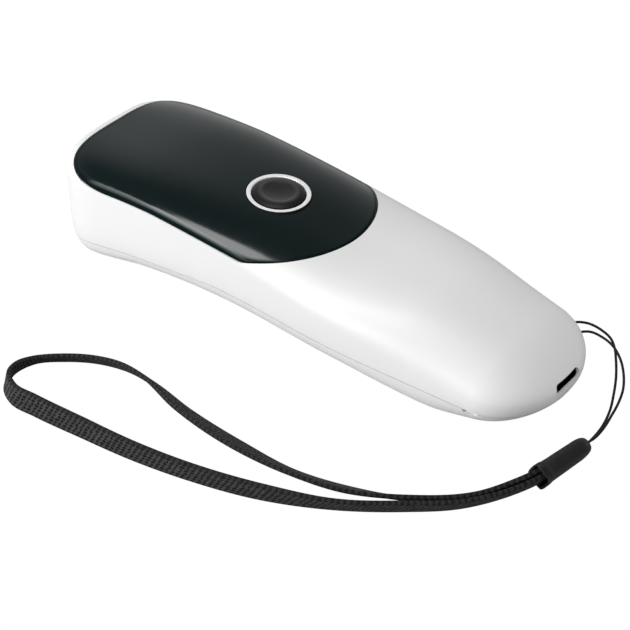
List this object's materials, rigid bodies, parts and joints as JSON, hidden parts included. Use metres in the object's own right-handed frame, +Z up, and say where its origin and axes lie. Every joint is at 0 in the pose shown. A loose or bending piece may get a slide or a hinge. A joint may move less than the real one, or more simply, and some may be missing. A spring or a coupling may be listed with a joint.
{
  "type": "pocket barcode scanner",
  "caption": "Slim hand-held barcode scanner with a white shell, black top panel, round trigger button, scan window in the nose, charging port in the tail and a black wrist strap.",
  "frame": {"origin": "centre of the foot of the scanner's box on the table, the strap left out", "axes": "+Y along the body towards the charging port, -Y out of the scan window, +Z up from the table, +X to the side where the strap lies"},
  "size_m": [0.0917, 0.143, 0.0285],
  "materials": {
    "white_plastic": "satin, fine smooth moulding",
    "gloss_black": "polished",
    "satin_black": "satin",
    "satin_silver": "satin silver",
    "steel": "plain bright steel",
    "window_smoke": "polished, dark tinted",
    "clear_glass": "polished, clear",
    "board_green": "solder mask, satin",
    "chip_plastic": "matt",
    "pale_plastic": "satin",
    "lamp_clear": "clear moulding",
    "aimer_red": "clear red moulding",
    "battery_wrap": "soft silver wrap",
    "flex_amber": "smooth film",
    "lead_red": "satin sleeve",
    "lead_black": "satin sleeve",
    "strap_black": "woven, matt",
    "clasp_black": "satin"
  },
  "bodies": {
    "casing": {"upper_housing": "white_plastic", "lower_cover": "white_plastic", "top_panel": "gloss_black", "trigger_ring": "satin_silver", "button_keeper": "satin_black", "window_bezel": "gloss_black", "scan_window": "window_smoke", "engine_housing": "satin_black", "lens_barrel": "satin_black", "camera_lens": "clear_glass", "lamp_left": "lamp_clear", "lamp_right": "lamp_clear", "aimer_lens": "aimer_red", "engine_board": "board_green", "image_sensor": "chip_plastic", "engine_bracket": "steel", "flex_cable": "flex_amber", "flex_socket": "pale_plastic", "main_board": "board_green", "switch_body": "chip_plastic", "processor_chip": "chip_plastic", "memory_chip": "chip_plastic", "charger_chip": "chip_plastic", "radio_shield": "steel", "status_led": "lamp_clear", "buzzer": "chip_plastic", "port_shell": "steel", "port_tongue": "chip_plastic", "battery_cell": "battery_wrap", "battery_guard_board": "flex_amber", "battery_lead_red": "lead_red", "battery_lead_black": "lead_black", "battery_plug": "pale_plastic", "battery_socket": "pale_plastic", "case_screw_front_left": "steel", "case_screw_front_right": "steel", "case_screw_rear_left": "steel", "case_screw_rear_right": "steel", "board_screw_left": "steel", "board_screw_right": "steel", "board_screw_rear": "steel", "engine_screw_left": "steel", "engine_screw_right": "steel", "strap_string": "strap_black", "strap_clasp": "clasp_black", "strap_band": "strap_black"},
    "trigger": {"trigger_button": "satin_black"},
    "plunger": {"switch_plunger": "pale_plastic"}
  },
  "joints": [
    {"name": "trigger_press", "type": "slide", "parent": "casing", "child": "trigger", "axis": [0, -0.0537, -0.9986], "range_m": [0, 0.0006], "stiffness_N_per_m": 1500},
    {"name": "switch_press", "type": "slide", "parent": "casing", "child": "plunger", "axis": [0, -0.0537, -0.9986], "range_m": [0, 0.00036]}
  ],
  "couplings": [
    {"joint": "switch_press", "follows": "trigger_press", "ratio": 0.6}
  ]
}
